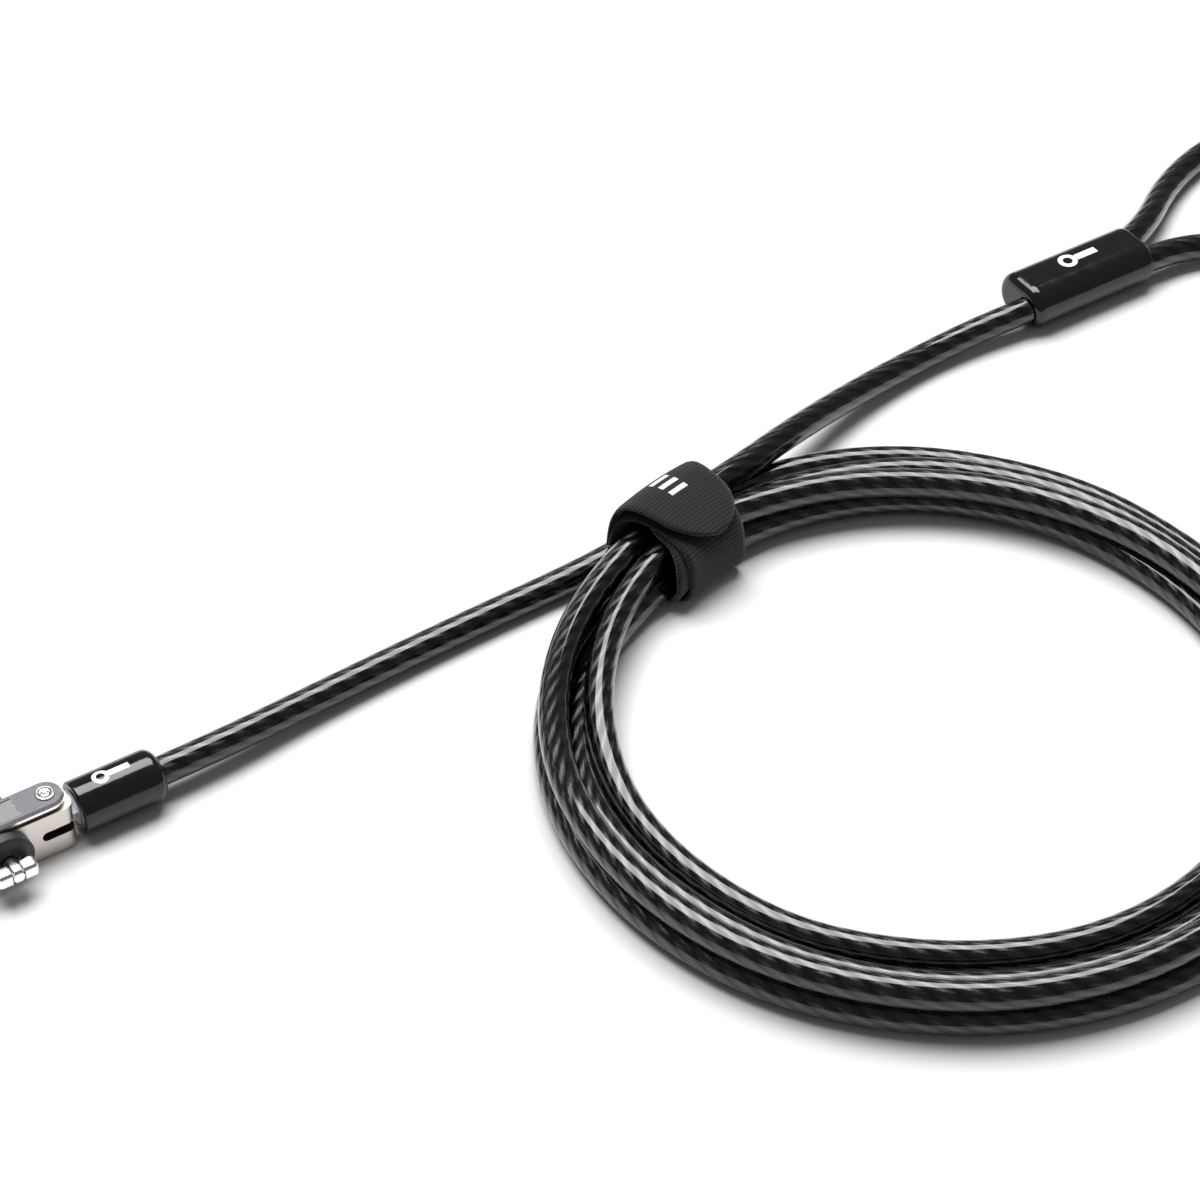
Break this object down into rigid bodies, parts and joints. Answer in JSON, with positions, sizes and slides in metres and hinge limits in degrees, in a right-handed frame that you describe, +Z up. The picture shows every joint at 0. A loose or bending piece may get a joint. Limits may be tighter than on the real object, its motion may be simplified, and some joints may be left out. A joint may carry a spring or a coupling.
{
  "type": "laptop cable lock",
  "caption": "Keyed laptop lock with a T tip in a hinged, swivelling head, on a coated steel cable coiled with a strap and ending in an anchor loop.",
  "frame": {"origin": "on the bottom rest face of the head, under the axis of the hinge rivet", "axes": "+X along the arm towards the cable, +Z up; the locking tip points to -Y"},
  "size_m": [0.3375, 0.1712, 0.0144],
  "materials": {
    "satin_nickel": "satin, slightly warm",
    "gunmetal": "dark satin with a polished bevel",
    "polished_steel": "polished",
    "spring_steel": "plain",
    "bronze": "turned",
    "black_metal": "black oxide, satin",
    "chrome_tip": "bright",
    "black_sleeve": "glossy black",
    "cable": "smoke-clear coating over steel rope",
    "strap": "black knitted hook and loop"
  },
  "bodies": {
    "cable": {"ferrule_cover": "black_sleeve", "ferrule_core": "satin_nickel", "lead_cable": "cable", "cable_coil": "cable", "tail_cable": "cable", "loop_cable": "cable", "loop_crimp": "satin_nickel", "loop_sleeve": "black_sleeve", "strap_band": "strap", "strap_tongue": "strap"},
    "tang": {"swivel_tang": "satin_nickel", "swivel_ring": "spring_steel"},
    "arm": {"hinge_arm": "satin_nickel", "cover_plate": "gunmetal", "hinge_rivet": "polished_steel"},
    "barrel": {"lock_barrel": "black_metal", "nose_collar": "black_metal", "guard_pins": "polished_steel", "tip_bearing": "bronze", "thrust_washer": "spring_steel", "swivel_washer": "spring_steel", "face_ring": "spring_steel"},
    "plug": {"locking_tip": "chrome_tip", "disc_carrier": "bronze", "detainer_discs": "bronze", "disc_spacers": "spring_steel", "side_bar": "spring_steel", "key_guard": "polished_steel"}
  },
  "joints": [
    {"name": "ferrule_swivel", "type": "hinge", "parent": "cable", "child": "tang", "pos_m": [0.007, 0, 0.0045], "axis": [1, 0, 0], "continuous": true},
    {"name": "arm_hinge", "type": "hinge", "parent": "tang", "child": "arm", "pos_m": [0, 0, 0.0045], "axis": [0, 0, 1], "range_deg": [-85, 90]},
    {"name": "head_swivel", "type": "hinge", "parent": "arm", "child": "barrel", "pos_m": [-0.0094, 0, 0.0049], "axis": [0, 1, 0], "continuous": true},
    {"name": "key_turn", "type": "hinge", "parent": "barrel", "child": "plug", "pos_m": [-0.0094, 0, 0.0049], "axis": [0, 1, 0], "range_deg": [0, 90]}
  ]
}
